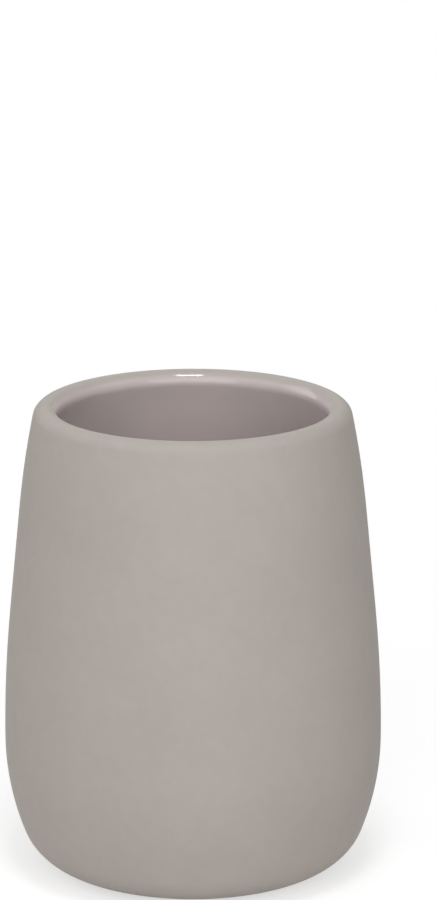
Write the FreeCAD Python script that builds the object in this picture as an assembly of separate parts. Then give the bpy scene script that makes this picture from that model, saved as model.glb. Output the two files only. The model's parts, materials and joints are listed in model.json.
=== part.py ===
"""Bathroom tumbler: a slip-cast ceramic cup with a matte coat outside and a gloss glaze inside.

Every piece but the small feet and their adhesive is a figure of revolution about Z. The tabletop is z = 0,
under the rubber feet. Lengths are millimetres, angles are degrees, and outlines lie in the half plane of
radius and height.
"""
import FreeCAD
import Part

import math
import os

# Ceramic body
overall_height = 100.0  # tabletop to the crest of the lip
belly_diameter = 80.0  # widest outside diameter
belly_height = 28.0  # tabletop to the widest level
lip_circle_diameter = 61.5  # circle along the crest of the lip
wall_thickness = 5.5
foot_diameter = 50.5  # outside of the ring that the body stands on
floor_thickness = 6.6  # underside of that ring to the inside floor
floor_diameter = 48.0  # flat middle of the inside floor

# Shape of the outline
side_lean_share = 1.04  # lean of the straight stretch, in mean leans of the side
lip_lean_share = 2.15  # lean of the wall where the lip begins, in mean leans
straight_share = 0.33  # straight stretch, in heights from belly to lip
heel_share = 0.80  # radius of the heel, in widths from the flat foot or floor to the belly

# Recess under the base
recess_diameter = 42.0
recess_depth = 1.8
recess_corner_radius = 0.6  # between the recess's wall and its ceiling
ring_edge_radius = 0.4  # inner edge of the standing ring

# Finishes on the body
coat_thickness = 0.2
glaze_thickness = 0.4
glaze_line_angle = 35.0  # from the lip's crest towards the inside

# Rubber feet, each stuck on with a disc of adhesive
foot_count = 4
first_foot_share = 0.5  # turn from +X to the first foot, in turns from foot to foot
rubber_foot_diameter = 9.0
rubber_foot_edge_radius = 0.4
rubber_foot_proud = 0.4  # below the standing ring
rubber_foot_circle_diameter = 27.0
adhesive_thickness = 0.2
adhesive_setback = 0.3  # inside the edge of its foot

# Ways that an outline faces, as angles from straight out
DOWN, OUT, UP, IN = -90.0, 0.0, 90.0, 180.0
FULL_TURN = 360.0

# Levels
ring_level = rubber_foot_proud
recess_level = ring_level + recess_depth
adhesive_level = recess_level - adhesive_thickness
floor_level = ring_level + floor_thickness
lip_radius = wall_thickness / 2
lip_level = overall_height - lip_radius

AXIS_POINT = FreeCAD.Vector(0, 0, 0)
AXIS_WAY = FreeCAD.Vector(0, 0, 1)


def at(radius, height):
    """Point of an outline."""
    return FreeCAD.Vector(radius, 0, height)


def toward(centre, distance, angle):
    """Point at a distance from a centre, at an angle from straight out."""
    turn = math.radians(angle)
    return centre + at(distance * math.cos(turn), distance * math.sin(turn))


def line(start, end):
    """Straight edge."""
    return Part.LineSegment(start, end).toShape()


class Arc:
    """Round stretch of an outline. A depth moves it towards its centre."""

    def __init__(self, centre, radius, start, end):
        self.centre, self.radius, self.start, self.end = centre, radius, start, end

    def point(self, angle, depth=0):
        return toward(self.centre, self.radius - depth, angle)

    def edge(self, depth=0):
        middle = (self.start + self.end) / 2
        three = [self.point(angle, depth) for angle in (self.start, middle, self.end)]
        return Part.Arc(*three).toShape()

    def part(self, start, end):
        return Arc(self.centre, self.radius, start, end)


class Straight:
    """Straight stretch between two arcs, with the lean that both have there."""

    def __init__(self, before, after):
        self.before, self.after = before, after

    def edge(self, depth=0):
        start = self.before.point(self.before.end, depth)
        end = self.after.point(self.after.start, depth)
        return line(start, end)


def edges(stretches, depth=0):
    """Edges of an outline at one depth."""
    return [stretch.edge(depth) for stretch in stretches]


def turned(outline):
    """Solid of revolution of a closed outline."""
    wire = Part.Wire(Part.__sortEdges__(outline))
    return Part.Face(wire).revolve(AXIS_POINT, AXIS_WAY, FULL_TURN)


def lower_outline(belly_radius, flat_radius, flat_level):
    """Heel and flank arcs that rise from a flat foot or floor to the upright belly."""
    width = belly_radius - flat_radius
    heel_radius = heel_share * width
    rise = belly_height - flat_level - heel_radius
    flank_radius = (width**2 + rise**2 - heel_radius**2) / (2 * (width - heel_radius))
    heel_centre = at(flat_radius, flat_level + heel_radius)
    flank_centre = at(belly_radius - flank_radius, belly_height)
    meeting = math.degrees(math.atan2(-rise, heel_centre.x - flank_centre.x))
    heel = Arc(heel_centre, heel_radius, DOWN, meeting)
    flank = Arc(flank_centre, flank_radius, meeting, OUT)
    return [heel, flank]


def upper_outline():
    """Belly arc, straight side and shoulder arc along the outside, and the full round of the lip."""
    inset = belly_diameter / 2 - lip_radius - lip_circle_diameter / 2
    rise = lip_level - belly_height
    mean_lean = math.atan2(inset, rise)
    side, top = side_lean_share * mean_lean, lip_lean_share * mean_lean
    straight = straight_share * rise
    # The two radii that carry the middle of the wall from the belly to the lip's centre
    arcs_inset = inset - straight * math.sin(side)
    arcs_rise = rise - straight * math.cos(side)
    belly_inset, belly_rise = 1 - math.cos(side), math.sin(side)
    top_inset, top_rise = math.cos(side) - math.cos(top), math.sin(top) - math.sin(side)
    determinant = belly_inset * top_rise - top_inset * belly_rise
    middle_belly = (arcs_inset * top_rise - top_inset * arcs_rise) / determinant
    middle_top = (belly_inset * arcs_rise - arcs_inset * belly_rise) / determinant
    # The outside, half a wall further out
    belly_radius, top_radius = middle_belly + lip_radius, middle_top + lip_radius
    side, top = math.degrees(side), math.degrees(top)
    belly_centre = at(belly_diameter / 2 - belly_radius, belly_height)
    lip_centre = at(lip_circle_diameter / 2, lip_level)
    belly = Arc(belly_centre, belly_radius, OUT, side)
    shoulder = Arc(toward(lip_centre, -middle_top, top), top_radius, side, top)
    lip = Arc(lip_centre, lip_radius, top, IN + top)
    return [belly, Straight(belly, shoulder), shoulder], lip


side_wall, lip = upper_outline()
outside = lower_outline(belly_diameter / 2, foot_diameter / 2, ring_level) + side_wall
inside_low = lower_outline(belly_diameter / 2 - wall_thickness, floor_diameter / 2, floor_level)
glaze_line = UP + glaze_line_angle
coated_path = outside + [lip.part(lip.start, glaze_line)]
glazed_lip = lip.part(glaze_line, lip.end)


def glazed_edges(depth):
    """Edges of the inside, from the glaze line to the floor's flat, at a depth under the glaze's face."""
    return [glazed_lip.edge(depth)] + edges(side_wall, wall_thickness - depth) + edges(inside_low, -depth)


def ceramic_body():
    """Clay body under both finishes, bare on its standing ring and in its recess."""
    recess_radius, foot_radius = recess_diameter / 2, foot_diameter / 2
    corner_centre = at(recess_radius - recess_corner_radius, recess_level - recess_corner_radius)
    corner = Arc(corner_centre, recess_corner_radius, OUT, UP)
    ring_edge_centre = at(recess_radius + ring_edge_radius, ring_level + ring_edge_radius)
    ring_edge = Arc(ring_edge_centre, ring_edge_radius, IN, FULL_TURN + DOWN)
    base = [
        line(at(0, recess_level), corner.point(UP)),
        corner.edge(),
        line(corner.point(OUT), ring_edge.point(IN)),
        ring_edge.edge(),
        line(ring_edge.point(DOWN), at(foot_radius, ring_level)),
        line(at(foot_radius, ring_level), at(foot_radius, ring_level + coat_thickness)),
    ]
    step = line(lip.point(glaze_line, coat_thickness), lip.point(glaze_line, glaze_thickness))
    floor_top = floor_level - glaze_thickness
    floor = line(at(floor_diameter / 2, floor_top), at(0, floor_top))
    core = line(at(0, floor_top), at(0, recess_level))
    coated, glazed = edges(coated_path, coat_thickness), glazed_edges(glaze_thickness)
    return turned(base + coated + [step] + glazed + [floor, core])


def matte_coat():
    """Soft-touch coat from the standing ring up and over the lip."""
    foot = at(foot_diameter / 2, ring_level)
    lower_end = line(foot, foot + at(0, coat_thickness))
    upper_end = line(lip.point(glaze_line), lip.point(glaze_line, coat_thickness))
    return turned(edges(coated_path) + edges(coated_path, coat_thickness) + [lower_end, upper_end])


def glaze_lining():
    """Gloss glaze from the lip down the inside and across the floor."""
    floor_radius, under = floor_diameter / 2, floor_level - glaze_thickness
    rim_end = line(lip.point(glaze_line), lip.point(glaze_line, glaze_thickness))
    floor = [
        line(at(0, floor_level), at(floor_radius, floor_level)),
        line(at(0, under), at(floor_radius, under)),
        line(at(0, under), at(0, floor_level)),
    ]
    return turned(glazed_edges(0) + glazed_edges(glaze_thickness) + [rim_end] + floor)


def rubber_foot():
    """Rubber foot about Z, with a rounded lower edge."""
    radius = rubber_foot_diameter / 2
    rim_centre = at(radius - rubber_foot_edge_radius, rubber_foot_edge_radius)
    rim = Arc(rim_centre, rubber_foot_edge_radius, DOWN, OUT)
    return turned([
        line(at(0, 0), rim.point(DOWN)),
        rim.edge(),
        line(rim.point(OUT), at(radius, adhesive_level)),
        line(at(radius, adhesive_level), at(0, adhesive_level)),
        line(at(0, adhesive_level), at(0, 0)),
    ])


def foot_adhesive():
    """Adhesive disc about Z, between a foot and the recess's ceiling."""
    radius = rubber_foot_diameter / 2 - adhesive_setback
    return Part.makeCylinder(radius, adhesive_thickness, at(0, adhesive_level), AXIS_WAY)


def around(shape, number):
    """Copy of a shape at one of the feet's places."""
    copy = shape.copy()
    copy.translate(at(rubber_foot_circle_diameter / 2, 0))
    copy.rotate(AXIS_POINT, AXIS_WAY, FULL_TURN * (number + first_foot_share) / foot_count)
    return copy


pieces = {"ceramic_body": ceramic_body(), "matte_coat": matte_coat(), "glaze_lining": glaze_lining()}
for number in range(foot_count):
    pieces[f"rubber_foot_{number + 1}"] = around(rubber_foot(), number)
    pieces[f"foot_adhesive_{number + 1}"] = around(foot_adhesive(), number)

os.makedirs("parts", exist_ok=True)
for name, shape in pieces.items():
    shape.exportStep(f"parts/{name}.step")
    print(name, "valid" if shape.isValid() else "not valid", f"{shape.Volume:.1f} mm3")
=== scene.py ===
"""Looks of a bathroom tumbler: matte coat, gloss glaze, bare clay base and rubber feet on adhesive discs.

The file is laid out as an add-on and run as a script. Lengths are metres, in the frame's own place.
"""

import json
import math
from collections import namedtuple

import bmesh
import bpy
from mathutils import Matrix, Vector


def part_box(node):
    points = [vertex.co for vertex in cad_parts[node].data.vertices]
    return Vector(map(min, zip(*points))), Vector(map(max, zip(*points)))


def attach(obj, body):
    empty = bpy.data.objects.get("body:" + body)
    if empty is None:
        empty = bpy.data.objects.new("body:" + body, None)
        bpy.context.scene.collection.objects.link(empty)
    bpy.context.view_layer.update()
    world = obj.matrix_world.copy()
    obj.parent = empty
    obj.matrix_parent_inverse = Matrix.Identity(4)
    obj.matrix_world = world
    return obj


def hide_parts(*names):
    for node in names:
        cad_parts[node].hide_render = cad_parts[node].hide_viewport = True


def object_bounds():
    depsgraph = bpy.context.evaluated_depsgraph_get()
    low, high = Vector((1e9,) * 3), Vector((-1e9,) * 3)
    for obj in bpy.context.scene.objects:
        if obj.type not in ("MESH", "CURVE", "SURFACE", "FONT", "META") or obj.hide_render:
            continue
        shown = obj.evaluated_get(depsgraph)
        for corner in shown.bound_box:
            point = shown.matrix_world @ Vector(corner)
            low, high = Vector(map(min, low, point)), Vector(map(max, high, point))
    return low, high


bl_info = {
    "name": "Bathroom Tumbler",
    "version": (1, 0, 0),
    "blender": (4, 5, 0),
    "location": "View3D > Sidebar > Tumbler",
    "description": "Models a glazed ceramic tumbler around its packed frame",
    "category": "Add Mesh",
}

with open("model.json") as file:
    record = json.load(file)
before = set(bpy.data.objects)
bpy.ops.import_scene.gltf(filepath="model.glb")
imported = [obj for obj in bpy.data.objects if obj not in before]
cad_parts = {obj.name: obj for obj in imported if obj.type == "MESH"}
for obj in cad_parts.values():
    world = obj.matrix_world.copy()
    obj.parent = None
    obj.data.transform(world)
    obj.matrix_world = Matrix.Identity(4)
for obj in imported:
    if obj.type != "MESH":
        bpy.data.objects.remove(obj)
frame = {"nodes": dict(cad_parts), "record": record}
cad_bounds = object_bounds()
slot_colours = {entry["slot"]: tuple(entry["base_color"]) for entry in frame["record"]["materials"]}

BODY = "root"
FOOT_NUMBERS = range(1, 5)
ORIGIN = (0, 0, 0)
X_WAY, Y_WAY, Z_WAY = (1, 0, 0), (0, 1, 0), (0, 0, 1)
NEAR = 1e-6  # points closer than this are one point
CORNER = math.radians(40)  # faces that meet more steeply make a corner
LEVEL = math.radians(5)  # faces that lean less are flat

# Levels that the finishes follow
tabletop = cad_bounds[0][2]
lip_crest = cad_bounds[1][2]
ring_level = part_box("ceramic_body")[0].z
glaze_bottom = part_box("glaze_lining")[0].z
worn_top = ring_level + 0.00012  # the coat is rubbed below this
sanded_top = ring_level + 0.0003  # the clay is sanded below this
pool_top = glaze_bottom + 0.006  # the glaze darkens below this
glaze_full_level = lip_crest - 0.0014  # the glaze has its full colour below this
glaze_thin_level = lip_crest - 0.0006  # and is thinnest above this


def length(name, description, default):
    """Property that holds a length."""
    return bpy.props.FloatProperty(
        name=name, description=description, unit="LENGTH", precision=6, min=0, default=default
    )


def colour(name, description, default):
    """Property that holds a colour."""
    return bpy.props.FloatVectorProperty(
        name=name, description=description, subtype="COLOR", size=3, min=0, max=1, default=default
    )


class TumblerShape(bpy.types.PropertyGroup):
    """Small shapes of the finishes and the feet."""

    turn_steps: bpy.props.IntProperty(
        name="Turn steps", description="Steps of a turned piece around its axis", min=24, default=128
    )
    coat_swell: length("Coat swell", "Height of the coat's slow unevenness", 0.00004)
    coat_swell_width: length("Coat swell width", "Width of one swell in the coat", 0.022)
    glaze_swell: length("Glaze swell", "Height of the glaze's slow unevenness", 0.00006)
    glaze_swell_width: length("Glaze swell width", "Width of one swell in the glaze", 0.009)
    foot_sides: bpy.props.IntProperty(
        name="Foot sides", description="Sides of a foot and of its adhesive disc", min=12, default=96
    )
    foot_round: length("Foot round", "Radius of a foot's edges", 0.0004)
    sole_rim: length("Sole rim", "Width of the flat rim of a foot's sole", 0.0009)
    sole_slope: length("Sole slope", "Width of the slope from that rim to the hollow", 0.0007)
    sole_hollow: length("Sole hollow", "Depth of the hollow in a foot's sole", 0.00025)
    glue_wobble: length("Adhesive wobble", "Unevenness of an adhesive disc's edge", 0.0002)
    glue_wobble_width: length("Adhesive wobble width", "Width of one bulge of that edge", 0.0015)


class TumblerColours(bpy.types.PropertyGroup):
    """Base colours of the finishes."""

    coat: colour("Coat", "Soft-touch coat outside", slot_colours["matte_coat"])
    glaze: colour("Glaze", "Gloss glaze inside", slot_colours["gloss_glaze"])
    clay: colour("Clay", "Bare fired clay under the base", slot_colours["bare_clay"])
    rubber: colour("Rubber", "Feet", slot_colours["rubber"])
    adhesive: colour("Adhesive", "Discs between the feet and the clay", slot_colours["adhesive"])
    floor: colour("Floor", "Tabletop under the tumbler", (0.74, 0.73, 0.72))


class TumblerStage(bpy.types.PropertyGroup):
    """Camera and surrounding light."""

    lens: bpy.props.FloatProperty(
        name="Lens", description="Focal length of the camera", unit="CAMERA", default=172.42
    )
    camera_distance: length("Camera distance", "Camera to the middle of the mouth", 0.9)
    camera_elevation: bpy.props.FloatProperty(
        name="Camera elevation",
        description="Angle at which the camera looks down on the mouth",
        subtype="ANGLE",
        default=math.radians(14.233),
    )
    ambient: bpy.props.FloatProperty(
        name="Surrounding light", description="Strength of the light from all around", min=0, default=0.24
    )
    backdrop: bpy.props.FloatProperty(
        name="Backdrop", description="Brightness of the surroundings where seen", min=0, default=0.6
    )


class TumblerSettings(bpy.types.PropertyGroup):
    """Everything that a user would change."""

    shape: bpy.props.PointerProperty(type=TumblerShape)
    colours: bpy.props.PointerProperty(type=TumblerColours)
    stage: bpy.props.PointerProperty(type=TumblerStage)


# Modelling


def pick(piece):
    """Select one object alone and make it active."""
    bpy.ops.object.select_all(action="DESELECT")
    piece.select_set(True)
    bpy.context.view_layer.objects.active = piece


def edit(piece):
    """Edit one piece alone, with nothing selected in it."""
    pick(piece)
    bpy.ops.object.mode_set(mode="EDIT")
    bpy.ops.mesh.select_mode(type="VERT")
    bpy.ops.mesh.select_all(action="DESELECT")


def stop_editing():
    bpy.ops.object.mode_set(mode="OBJECT")


def select_faces(piece, wanted):
    """Select the faces whose normal passes a test."""
    bpy.ops.mesh.select_mode(type="FACE")
    bpy.ops.mesh.select_all(action="DESELECT")
    mesh = bmesh.from_edit_mesh(piece.data)
    for face in mesh.faces:
        face.select_set(wanted(face.normal))
    bmesh.update_edit_mesh(piece.data)


def select_corners():
    """Select the edges of the mesh in hand where its faces meet steeply."""
    bpy.ops.mesh.select_mode(type="EDGE")
    bpy.ops.mesh.select_all(action="DESELECT")
    bpy.ops.mesh.edges_select_sharp(sharpness=CORNER)


def keep_outline():
    """Cut the mesh in hand down to its outline in the half plane of X and Z."""
    bpy.ops.mesh.select_all(action="SELECT")
    bpy.ops.mesh.remove_doubles(threshold=NEAR)
    bpy.ops.mesh.bisect(plane_co=ORIGIN, plane_no=X_WAY, clear_inner=True, threshold=NEAR)
    bpy.ops.mesh.select_all(action="SELECT")
    bpy.ops.mesh.bisect(plane_co=ORIGIN, plane_no=Y_WAY, clear_inner=True, clear_outer=True, threshold=NEAR)


def turn_outline(steps):
    """Turn the outline in hand about the axis, and close the seam and the poles."""
    bpy.ops.mesh.select_all(action="SELECT")
    bpy.ops.mesh.spin(steps=steps, angle=math.tau, center=ORIGIN, axis=Z_WAY)
    bpy.ops.mesh.select_all(action="SELECT")
    bpy.ops.mesh.remove_doubles(threshold=NEAR)
    bpy.ops.mesh.normals_make_consistent(inside=False)


def apply_modifier(piece, name, kind, **settings):
    """Add a modifier with its settings and apply it."""
    modifier = piece.modifiers.new(name, kind)
    for setting, value in settings.items():
        setattr(modifier, setting, value)
    pick(piece)
    bpy.ops.object.modifier_apply(modifier=modifier.name)


def turned_copy(node, name, steps):
    """New piece, turned from the outline that a node of the frame has and smoothed between its corners."""
    piece = bpy.data.objects.new(name, frame["nodes"][node].data.copy())
    bpy.context.scene.collection.objects.link(piece)
    edit(piece)
    bpy.ops.mesh.customdata_custom_splitnormals_clear()
    keep_outline()
    turn_outline(steps)
    select_corners()
    bpy.ops.transform.edge_crease(value=1)
    stop_editing()
    apply_modifier(piece, "Smoothing", "SUBSURF", levels=1, render_levels=1)
    return piece


def swell(piece, height, width, way="NORMAL"):
    """Give a surface slow swells, as a hand-finished one has."""
    swells = bpy.data.textures.new(f"{piece.name}_swells", "CLOUDS")
    swells.noise_scale = width
    settings = {"texture": swells, "texture_coords": "LOCAL", "strength": height, "direction": way}
    apply_modifier(piece, "Swells", "DISPLACE", **settings)


def disc_in_place(node, name, sides):
    """Disc with the size and place of a round node of the frame, left in edit mode."""
    low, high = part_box(node)
    bpy.ops.object.select_all(action="DESELECT")
    bpy.ops.mesh.primitive_cylinder_add(
        vertices=sides, radius=(high.x - low.x) / 2, depth=high.z - low.z, location=(low + high) / 2
    )
    piece = bpy.context.active_object
    piece.name = name
    bpy.ops.object.transform_apply(location=True, rotation=True, scale=True)
    edit(piece)
    return piece


def copy_in_place(model, from_node, to_node, name):
    """Copy of a piece with its own mesh, moved from one node's place to another's."""
    pick(model)
    bpy.ops.object.duplicate(linked=False)
    piece = bpy.context.active_object
    piece.name = name
    edit(piece)
    bpy.ops.mesh.select_all(action="SELECT")
    bpy.ops.transform.translate(value=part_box(to_node)[0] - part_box(from_node)[0])
    stop_editing()
    return piece


def copies_for_feet(model, node, name):
    """A modelled piece and its copies, one for each foot, by the names of the nodes that they stand for."""
    nodes = [f"{node}_{number}" for number in FOOT_NUMBERS]
    pieces = {nodes[0]: model}
    for number, place in zip(FOOT_NUMBERS[1:], nodes[1:]):
        pieces[place] = copy_in_place(model, nodes[0], place, f"{name}_{number}")
    return pieces


def finish_piece(piece, material, node):
    """Shade a piece, give it its material and set it in the frame."""
    pick(piece)
    bpy.ops.object.shade_smooth_by_angle(angle=CORNER)
    piece.data.materials.clear()
    piece.data.materials.append(material)
    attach(piece, BODY)
    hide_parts(node)


# Shared effects of the materials

VECTOR, VALUE, COLOUR = "NodeSocketVector", "NodeSocketFloat", "NodeSocketColor"
MIX_SHARE, MIX_FIRST, MIX_SECOND, MIX_RESULT = 0, 6, 7, 2  # colour sockets of a Mix node
FULL_SPAN = (0, 1)
NOISE_SPAN = (0.3, 0.7)  # holds most values of a noise
NOISE_MIDDLE = 0.5


class Nodes:
    """Short way to add nodes to a tree and join them."""

    def __init__(self, tree):
        self.tree = tree

    def add(self, kind, inputs=None, **settings):
        """New node with its settings, and with its inputs set or linked."""
        node = self.tree.nodes.new(kind)
        for name, value in settings.items():
            setattr(node, name, value)
        for name, value in (inputs or {}).items():
            if isinstance(value, bpy.types.NodeSocket):
                self.tree.links.new(value, node.inputs[name])
            else:
                node.inputs[name].default_value = value
        return node

    def math(self, operation, *values):
        return self.add("ShaderNodeMath", dict(enumerate(values)), operation=operation).outputs[0]

    def scaled(self, value, share):
        return self.math("MULTIPLY", value, share)

    def remap(self, value, span, new_span):
        """Value carried from one span to another, and held at its ends."""
        (low, high), (new_low, new_high) = span, new_span
        ends = {"From Min": low, "From Max": high, "To Min": new_low, "To Max": new_high}
        return self.add("ShaderNodeMapRange", {"Value": value, **ends}).outputs["Result"]

    def mix(self, share, first, second):
        """Colour with a share of the second in the first."""
        inputs = {MIX_SHARE: share, MIX_FIRST: first, MIX_SECOND: second}
        return self.add("ShaderNodeMix", inputs, data_type="RGBA").outputs[MIX_RESULT]

    def noise(self, place, scale, detail):
        """Soft noise with so many patches in a metre."""
        inputs = {"Vector": place, "Scale": scale, "Detail": detail}
        return self.add("ShaderNodeTexNoise", inputs).outputs["Fac"]

    def effect(self, name, **inputs):
        """Output of a shared effect, with this material's own values."""
        group = bpy.data.node_groups.get(name) or EFFECTS[name](name)
        sockets = {name.replace("_", " ").capitalize(): value for name, value in inputs.items()}
        return self.add("ShaderNodeGroup", sockets, node_tree=group).outputs[0]


def new_effect(name, inputs, output, kind):
    """Shader node group with named sockets: its nodes, its inputs and the socket that it puts out."""
    tree = bpy.data.node_groups.new(name, "ShaderNodeTree")
    for socket, socket_kind in inputs.items():
        tree.interface.new_socket(name=socket, in_out="INPUT", socket_type=socket_kind)
    tree.interface.new_socket(name=output, in_out="OUTPUT", socket_type=kind)
    nodes = Nodes(tree)
    given = nodes.add("NodeGroupInput").outputs
    return nodes, given, nodes.add("NodeGroupOutput").inputs[output]


def mottled_tone(name):
    """Colour that drifts lighter and darker in soft patches."""
    inputs = {"Place": VECTOR, "Tone": COLOUR, "Patch": VALUE, "Drift share": VALUE}
    nodes, given, result = new_effect(name, inputs, "Color", COLOUR)
    patches = nodes.noise(given["Place"], nodes.math("DIVIDE", 1, given["Patch"]), detail=3)
    drift = nodes.math("SUBTRACT", patches, NOISE_MIDDLE)
    lightness = nodes.math("MULTIPLY_ADD", drift, given["Drift share"], 1)
    shaded = nodes.add("ShaderNodeHueSaturation", {"Value": lightness, "Color": given["Tone"]})
    nodes.tree.links.new(shaded.outputs["Color"], result)
    return nodes.tree


def fine_grain(name):
    """Height of a fine, even grain."""
    nodes, given, result = new_effect(name, {"Place": VECTOR, "Grain": VALUE}, "Height", VALUE)
    height = nodes.noise(given["Place"], nodes.math("DIVIDE", 1, given["Grain"]), detail=2)
    nodes.tree.links.new(height, result)
    return nodes.tree


def level_mask(name):
    """Mask that rises from 0 at one height to 1 at another."""
    inputs = {"Place": VECTOR, "Start": VALUE, "End": VALUE}
    nodes, given, result = new_effect(name, inputs, "Mask", VALUE)
    height = nodes.add("ShaderNodeSeparateXYZ", {"Vector": given["Place"]}).outputs["Z"]
    ends = {"Value": height, "From Min": given["Start"], "From Max": given["End"]}
    rise = nodes.add("ShaderNodeMapRange", ends, interpolation_type="SMOOTHSTEP")
    nodes.tree.links.new(rise.outputs["Result"], result)
    return nodes.tree


EFFECTS = {"Mottled tone": mottled_tone, "Fine grain": fine_grain, "Level mask": level_mask}


# Materials


def new_material(name):
    """Material with its nodes, its shader's inputs and the place on its object."""
    material = bpy.data.materials.new(name)
    material.use_nodes = True
    nodes = Nodes(material.node_tree)
    shader = material.node_tree.nodes["Principled BSDF"]
    place = nodes.add("ShaderNodeTexCoord").outputs["Object"]
    return material, nodes, shader.inputs, place


def feed(nodes, shader, tone, roughness, height, depth):
    """Join a colour, a roughness and a bump of some depth to a shader."""
    bump = nodes.add("ShaderNodeBump", {"Height": height, "Distance": depth, "Strength": 1})
    nodes.tree.links.new(tone, shader["Base Color"])
    nodes.tree.links.new(roughness, shader["Roughness"])
    nodes.tree.links.new(bump.outputs["Normal"], shader["Normal"])


def opaque(tone):
    """Colour with its alpha."""
    return (*tone, 1)


def darker(tone, share):
    """Share of a colour's brightness, with its alpha."""
    return opaque(share * channel for channel in tone)


def coat_material(colours):
    """Soft-touch coat: velvety, faintly mottled, and rubbed where it ends at the standing ring."""
    material, nodes, shader, place = new_material("soft_touch_coat")
    plain = opaque(colours.coat)
    tone = nodes.effect("Mottled tone", place=place, tone=plain, patch=0.018, drift_share=0.10)
    tone = nodes.effect("Mottled tone", place=place, tone=tone, patch=0.0025, drift_share=0.08)
    cover = nodes.effect("Level mask", place=place, start=ring_level, end=worn_top)
    wear = nodes.scaled(nodes.noise(place, scale=700, detail=4), share=0.6)
    covered = nodes.remap(nodes.math("ADD", wear, cover), (0.35, 0.6), FULL_SPAN)
    tone = nodes.mix(covered, opaque(colours.clay), tone)
    grain = nodes.effect("Fine grain", place=place, grain=0.00028)
    roughness = nodes.remap(grain, NOISE_SPAN, (0.62, 0.76))
    feed(nodes, shader, tone, roughness, grain, depth=0.00003)
    shader["Specular IOR Level"].default_value = 0.35
    return material


def glaze_material(colours):
    """Gloss glaze: paler where it thins on the lip and darker where it pools at the floor."""
    material, nodes, shader, place = new_material("gloss_glaze")
    plain = opaque(colours.glaze)
    tone = nodes.effect("Mottled tone", place=place, tone=plain, patch=0.01, drift_share=0.12)
    pool = nodes.effect("Level mask", place=place, start=pool_top, end=glaze_bottom)
    tone = nodes.mix(nodes.scaled(pool, share=0.6), tone, darker(colours.glaze, share=0.86))
    thin = nodes.effect("Level mask", place=place, start=glaze_full_level, end=glaze_thin_level)
    tone = nodes.mix(nodes.scaled(thin, share=0.7), tone, opaque(colours.coat))
    peel = nodes.effect("Fine grain", place=place, grain=0.0022)
    sheen = nodes.noise(place, scale=300, detail=3)
    roughness = nodes.remap(sheen, NOISE_SPAN, (0.05, 0.1))
    feed(nodes, shader, tone, roughness, peel, depth=0.00002)
    return material


def clay_material(colours):
    """Bare fired clay: speckled, with turning lines in the recess and a sanded standing ring."""
    material, nodes, shader, place = new_material("bare_clay")
    plain = opaque(colours.clay)
    tone = nodes.effect("Mottled tone", place=place, tone=plain, patch=0.006, drift_share=0.16)
    specks = nodes.remap(nodes.noise(place, scale=1500, detail=2), (0.66, 0.72), (0, 0.7))
    tone = nodes.mix(specks, tone, darker(colours.clay, share=0.45))
    lines = nodes.add(
        "ShaderNodeTexWave",
        {"Vector": place, "Scale": 420, "Distortion": 1.5, "Detail": 2, "Detail Scale": 2},
        wave_type="RINGS",
        rings_direction="Z",
    )
    grain = nodes.effect("Fine grain", place=place, grain=0.0002)
    height = nodes.math("ADD", nodes.scaled(lines.outputs["Fac"], share=0.6), grain)
    sanded = nodes.effect("Level mask", place=place, start=sanded_top, end=ring_level)
    roughness = nodes.remap(sanded, FULL_SPAN, (0.88, 0.7))
    feed(nodes, shader, tone, roughness, height, depth=0.00005)
    return material


def rubber_material(colours):
    """Moulded rubber: dark, finely grained and a little dusty."""
    material, nodes, shader, place = new_material("moulded_rubber")
    plain = opaque(colours.rubber)
    tone = nodes.effect("Mottled tone", place=place, tone=plain, patch=0.002, drift_share=0.2)
    dust = nodes.remap(nodes.noise(place, scale=900, detail=5), (0.5, 0.8), (0, 0.5))
    tone = nodes.mix(dust, tone, opaque(colours.clay))
    grain = nodes.effect("Fine grain", place=place, grain=0.00012)
    roughness = nodes.remap(grain, NOISE_SPAN, (0.55, 0.75))
    feed(nodes, shader, tone, roughness, grain, depth=0.00003)
    return material


def adhesive_material(colours):
    """Pressed adhesive film, with wet and dry patches."""
    material, nodes, shader, place = new_material("adhesive_film")
    plain = opaque(colours.adhesive)
    tone = nodes.effect("Mottled tone", place=place, tone=plain, patch=0.001, drift_share=0.3)
    grain = nodes.effect("Fine grain", place=place, grain=0.0004)
    roughness = nodes.remap(grain, (0.35, 0.65), (0.25, 0.55))
    feed(nodes, shader, tone, roughness, grain, depth=0.00003)
    return material


# Stage

Lamp = namedtuple("Lamp", "azimuth elevation distance width height watts")
LAMPS = {  # angles in degrees, azimuths counted to the right from the camera's side
    "front_softbox": Lamp(0, 30, 1.3, 1.8, 0.9, 10.1),
    "left_softbox": Lamp(-115, 25, 1.3, 0.8, 0.8, 2.7),
    "back_softbox": Lamp(180, 35, 1.3, 0.9, 0.9, 2.4),
    "overhead_lamp": Lamp(6, 74, 1.2, 0.28, 0.3, 3.9),
    "overhead_strip": Lamp(25, 70, 1.3, 1.8, 0.2, 1.3),
    "table_lamp": Lamp(0, -65, 1.2, 0.9, 0.9, 1),
}
FRAME_PIXELS = (436, 900)
MOUTH_PIXEL = (192.68, 404.08)  # middle of the mouth, at the level of the lip's crest
SENSOR = 36.0  # millimetres along the frame's long side
FLOOR_WIDTH = 60.0
FLOOR_GAP = 0.00002  # between the soles and the floor's face
FLOOR_GREY = 0.5  # shade that catches the shadow near the tumbler
FLOOR_GLOW = 0.6  # light that the floor adds to it there
SHADOW_SPAN = (0.10, 0.32)  # radii between which the floor fades to plain white


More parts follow.
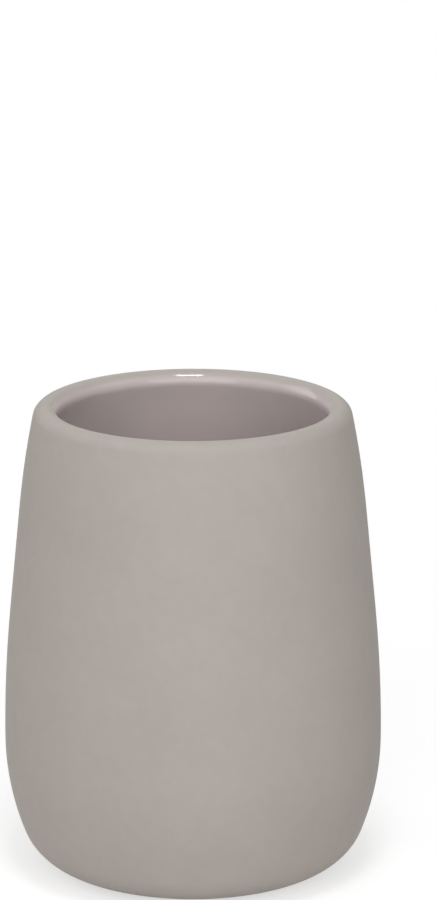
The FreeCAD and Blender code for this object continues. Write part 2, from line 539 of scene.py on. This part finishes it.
def add_camera(stage):
    """Camera at the photograph's viewing angle and framing."""
    mouth = Vector((0, 0, lip_crest))
    elevation = stage.camera_elevation
    way = Vector((0, -math.cos(elevation), math.sin(elevation)))
    focal_pixels = stage.lens / SENSOR * max(FRAME_PIXELS)
    right = (MOUTH_PIXEL[0] - FRAME_PIXELS[0] / 2) / focal_pixels
    above = (FRAME_PIXELS[1] / 2 - MOUTH_PIXEL[1]) / focal_pixels
    tilt = elevation + math.atan(above)
    turn = math.atan(right / math.cos(elevation))
    bpy.ops.object.camera_add(
        location=mouth + stage.camera_distance * way, rotation=(math.pi / 2 - tilt, 0, turn)
    )
    camera = bpy.context.active_object
    camera.data.lens = stage.lens
    camera.data.sensor_width = SENSOR
    bpy.context.scene.camera = camera


def add_lamp(name, lamp):
    """Softbox that faces the middle of the tumbler."""
    middle = Vector((0, 0, lip_crest / 2))
    azimuth, elevation = math.radians(lamp.azimuth), math.radians(lamp.elevation)
    level = math.cos(elevation)
    way = Vector((math.sin(azimuth) * level, -math.cos(azimuth) * level, math.sin(elevation)))
    bpy.ops.object.light_add(
        type="AREA", location=middle + lamp.distance * way, rotation=way.to_track_quat("Z", "Y").to_euler()
    )
    light = bpy.context.active_object
    light.name = name
    light.visible_camera = False
    light.data.shape = "RECTANGLE"
    light.data.size = lamp.width
    light.data.size_y = lamp.height
    light.data.energy = lamp.watts


def seen_directly(nodes):
    """1 for rays from the camera, a mirror or glass, and 0 for the rays that light things."""
    path = nodes.add("ShaderNodeLightPath").outputs
    mirror = nodes.math("MAXIMUM", path["Is Glossy Ray"], path["Is Transmission Ray"])
    return nodes.math("MAXIMUM", path["Is Camera Ray"], mirror)


def light_surroundings(stage):
    """Even light from all around, which looks brighter than it lights."""
    world = bpy.data.worlds.new("studio")
    world.use_nodes = True
    nodes = Nodes(world.node_tree)
    background = world.node_tree.nodes["Background"].inputs
    background["Color"].default_value = opaque((1, 1, 1))
    strength = nodes.remap(seen_directly(nodes), FULL_SPAN, (stage.ambient, stage.backdrop))
    nodes.tree.links.new(strength, background["Strength"])
    bpy.context.scene.world = world


def floor_material(colours):
    """Pale floor, white apart from the tumbler's shadow, that can be seen and lit through from below."""
    material, nodes, shader, place = new_material("tabletop")
    shader["Base Color"].default_value = opaque(colours.floor)
    shader["Roughness"].default_value = 1
    shader["Specular IOR Level"].default_value = 0
    plain = nodes.tree.nodes["Principled BSDF"].outputs["BSDF"]
    grey = opaque(3 * (FLOOR_GREY,))
    catching = nodes.add("ShaderNodeBsdfDiffuse", {"Color": grey}).outputs["BSDF"]
    glow = nodes.add("ShaderNodeEmission", {"Strength": FLOOR_GLOW}).outputs["Emission"]
    near_look = nodes.add("ShaderNodeAddShader", {0: catching, 1: glow}).outputs["Shader"]
    white = nodes.add("ShaderNodeEmission", {"Strength": 1}).outputs["Emission"]
    radius = nodes.add("ShaderNodeVectorMath", {0: place}, operation="LENGTH").outputs["Value"]
    far = nodes.remap(radius, SHADOW_SPAN, FULL_SPAN)
    look = nodes.add("ShaderNodeMixShader", {0: far, 1: near_look, 2: white}).outputs["Shader"]
    seen = seen_directly(nodes)
    shown = nodes.add("ShaderNodeMixShader", {0: seen, 1: plain, 2: look}).outputs["Shader"]
    below = nodes.add("ShaderNodeNewGeometry").outputs["Backfacing"]
    lamp_ray = nodes.add("ShaderNodeLightPath").outputs["Is Shadow Ray"]
    passed = nodes.math("MAXIMUM", below, lamp_ray)
    clear = nodes.add("ShaderNodeBsdfTransparent").outputs["BSDF"]
    surface = nodes.add("ShaderNodeMixShader", {0: passed, 1: shown, 2: clear}).outputs["Shader"]
    nodes.tree.links.new(surface, nodes.tree.nodes["Material Output"].inputs["Surface"])
    return material


def add_floor(colours):
    """Tabletop that the soles rest on."""
    bpy.ops.object.select_all(action="DESELECT")
    bpy.ops.mesh.primitive_plane_add(size=FLOOR_WIDTH, location=(0, 0, tabletop - FLOOR_GAP))
    floor = bpy.context.active_object
    floor.name = "tabletop"
    floor.data.materials.append(floor_material(colours))


# Operators


class TUMBLER_OT_coat(bpy.types.Operator):
    """Turn the soft-touch coat from its outline"""

    bl_idname = "tumbler.coat"
    bl_label = "Soft-touch coat"

    def execute(self, context):
        settings = context.scene.tumbler
        shape = settings.shape
        piece = turned_copy("matte_coat", "soft_touch_coat", shape.turn_steps)
        swell(piece, shape.coat_swell, shape.coat_swell_width)
        finish_piece(piece, coat_material(settings.colours), "matte_coat")
        return {"FINISHED"}


class TUMBLER_OT_glaze(bpy.types.Operator):
    """Turn the gloss glaze from its outline"""

    bl_idname = "tumbler.glaze"
    bl_label = "Gloss glaze"

    def execute(self, context):
        settings = context.scene.tumbler
        shape = settings.shape
        piece = turned_copy("glaze_lining", "gloss_lining", shape.turn_steps)
        swell(piece, shape.glaze_swell, shape.glaze_swell_width)
        finish_piece(piece, glaze_material(settings.colours), "glaze_lining")
        return {"FINISHED"}


class TUMBLER_OT_clay(bpy.types.Operator):
    """Turn the clay body from its outline"""

    bl_idname = "tumbler.clay"
    bl_label = "Clay body"

    def execute(self, context):
        settings = context.scene.tumbler
        piece = turned_copy("ceramic_body", "clay_body", settings.shape.turn_steps)
        finish_piece(piece, clay_material(settings.colours), "ceramic_body")
        return {"FINISHED"}


class TUMBLER_OT_feet(bpy.types.Operator):
    """Model one rubber foot, with a hollow sole, and copy it to the others' places"""

    bl_idname = "tumbler.feet"
    bl_label = "Rubber feet"

    def execute(self, context):
        settings = context.scene.tumbler
        shape = settings.shape
        model = disc_in_place("rubber_foot_1", "foot_pad_1", shape.foot_sides)
        select_corners()
        bpy.ops.mesh.bevel(offset=shape.foot_round, segments=4)
        select_faces(model, lambda normal: normal.z < -math.cos(LEVEL))
        bpy.ops.mesh.inset(thickness=shape.sole_rim)
        bpy.ops.mesh.inset(thickness=shape.sole_slope, depth=-shape.sole_hollow)
        bpy.ops.mesh.inset(thickness=shape.sole_slope)
        stop_editing()
        material = rubber_material(settings.colours)
        for node, piece in copies_for_feet(model, "rubber_foot", "foot_pad").items():
            finish_piece(piece, material, node)
        return {"FINISHED"}


class TUMBLER_OT_adhesive(bpy.types.Operator):
    """Model one adhesive disc, copy it to the others' places and press their edges uneven"""

    bl_idname = "tumbler.adhesive"
    bl_label = "Adhesive discs"

    def execute(self, context):
        settings = context.scene.tumbler
        shape = settings.shape
        model = disc_in_place("foot_adhesive_1", "adhesive_disc_1", shape.foot_sides)
        select_faces(model, lambda normal: abs(normal.z) > math.cos(LEVEL))
        bpy.ops.mesh.inset(thickness=shape.glue_wobble_width)
        stop_editing()
        material = adhesive_material(settings.colours)
        for node, piece in copies_for_feet(model, "foot_adhesive", "adhesive_disc").items():
            for way in ("X", "Y"):
                swell(piece, shape.glue_wobble, shape.glue_wobble_width, way)
            finish_piece(piece, material, node)
        return {"FINISHED"}


class TUMBLER_OT_stage(bpy.types.Operator):
    """Set the tabletop, the lamps and the camera"""

    bl_idname = "tumbler.stage"
    bl_label = "Stage"

    def execute(self, context):
        settings = context.scene.tumbler
        context.scene.view_settings.view_transform = "Standard"
        add_floor(settings.colours)
        for name, lamp in LAMPS.items():
            add_lamp(name, lamp)
        light_surroundings(settings.stage)
        add_camera(settings.stage)
        return {"FINISHED"}


STEPS = (
    TUMBLER_OT_coat,
    TUMBLER_OT_glaze,
    TUMBLER_OT_clay,
    TUMBLER_OT_feet,
    TUMBLER_OT_adhesive,
    TUMBLER_OT_stage,
)


class TUMBLER_PT_panel(bpy.types.Panel):
    """Settings and steps of the tumbler"""

    bl_idname = "TUMBLER_PT_panel"
    bl_label = "Bathroom Tumbler"
    bl_space_type = "VIEW_3D"
    bl_region_type = "UI"
    bl_category = "Tumbler"

    def draw(self, context):
        settings = context.scene.tumbler
        for group in (settings.shape, settings.colours, settings.stage):
            box = self.layout.box()
            for name in group.__annotations__:
                box.prop(group, name)
        for step in STEPS:
            self.layout.operator(step.bl_idname)


CLASSES = (TumblerShape, TumblerColours, TumblerStage, TumblerSettings, *STEPS, TUMBLER_PT_panel)


def register():
    for kind in CLASSES:
        bpy.utils.register_class(kind)
    bpy.types.Scene.tumbler = bpy.props.PointerProperty(type=TumblerSettings)


def unregister():
    del bpy.types.Scene.tumbler
    for kind in reversed(CLASSES):
        bpy.utils.unregister_class(kind)


def main():
    """Model every piece and the stage."""
    register()
    bpy.ops.tumbler.coat()
    bpy.ops.tumbler.glaze()
    bpy.ops.tumbler.clay()
    bpy.ops.tumbler.feet()
    bpy.ops.tumbler.adhesive()
    bpy.ops.tumbler.stage()


if __name__ == "__main__":
    main()
